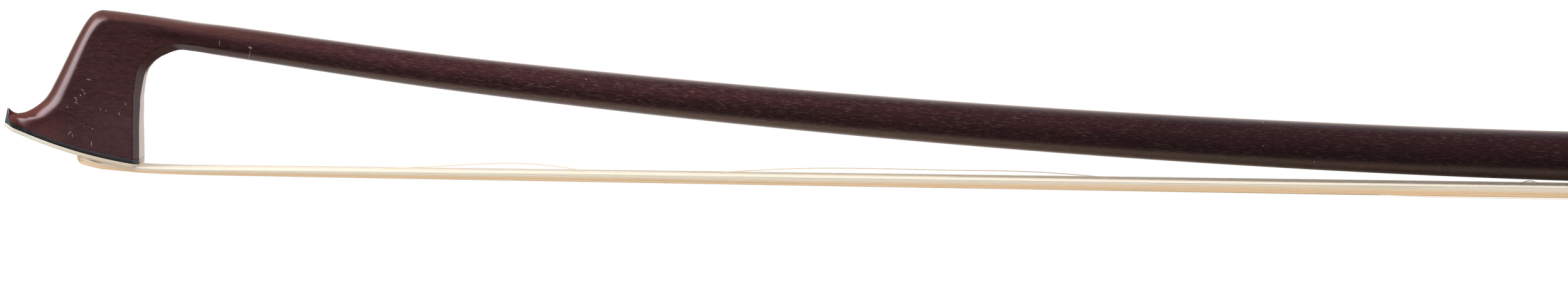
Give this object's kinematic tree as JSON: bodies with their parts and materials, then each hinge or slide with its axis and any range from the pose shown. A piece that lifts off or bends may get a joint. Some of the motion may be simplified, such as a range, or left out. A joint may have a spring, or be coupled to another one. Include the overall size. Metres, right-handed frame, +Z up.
{
  "type": "viola bow",
  "caption": "Viola bow: cambered wooden stick with a carved head, a flat hair ribbon, and a frog on the handle that an end screw draws back to tighten the hair.",
  "frame": {"origin": "under the middle of the bow's box, at its lowest level", "axes": "+X along the bow from the head to the button, +Y across the hair, +Z up from the hair to the stick"},
  "size_m": [0.7462, 0.0136, 0.0358],
  "materials": {
    "stick_wood": "polished dark red-brown pernambuco with fine short grain",
    "ebony": "polished ebony",
    "ivory_plate": "ivory-coloured head plate, satin",
    "hair": "bleached horsehair with tan streaks",
    "leather": "dark grained leather",
    "silver": "polished silver with fine wear",
    "brass": "plain brass",
    "steel": "turned steel",
    "pearl": "mother-of-pearl",
    "plug_wood": "plain pale wood",
    "binding": "bound and burnt hair end",
    "dark_strip": "dark lapping strip",
    "pale_strip": "pale lapping strip"
  },
  "bodies": {
    "stick": {"stick": "stick_wood", "head_plate": "ivory_plate", "head_liner": "ebony", "head_plug": "plug_wood", "head_hair_knot": "binding", "hair_ribbon": "hair", "thumb_grip": "leather", "lapping_dark": "dark_strip", "lapping_pale": "pale_strip"},
    "frog": {"frog_body": "ebony", "ferrule": "silver", "spreader_wedge": "plug_wood", "slide_pearl": "pearl", "slide_backing": "ebony", "heel_plate": "silver", "heel_pin_left": "silver", "heel_pin_right": "silver", "pearl_eye_left": "pearl", "pearl_eye_right": "pearl", "eye_ring_left": "silver", "eye_ring_right": "silver", "underslide": "silver", "underslide_screw_front": "brass", "underslide_screw_rear": "brass", "eyelet": "brass", "frog_plug": "plug_wood", "frog_hair_knot": "binding"},
    "screw": {"screw_shaft": "steel", "button_collar": "silver", "button_core": "ebony", "button_cap": "silver", "button_pearl": "pearl"}
  },
  "joints": [
    {"name": "frog_slide", "type": "slide", "parent": "stick", "child": "frog", "axis": [0.9963, 0, 0.0856], "range_m": [0, 0.008], "deforming": ["hair_ribbon"]},
    {"name": "screw_turn", "type": "hinge", "parent": "stick", "child": "screw", "pos_m": [0.3588, 0, 0.03045], "axis": [0.9963, 0, 0.0856], "range_deg": [0, 3600]}
  ],
  "couplings": [
    {"joint": "screw_turn", "follows": "frog_slide", "rad_per_m": 7854}
  ]
}
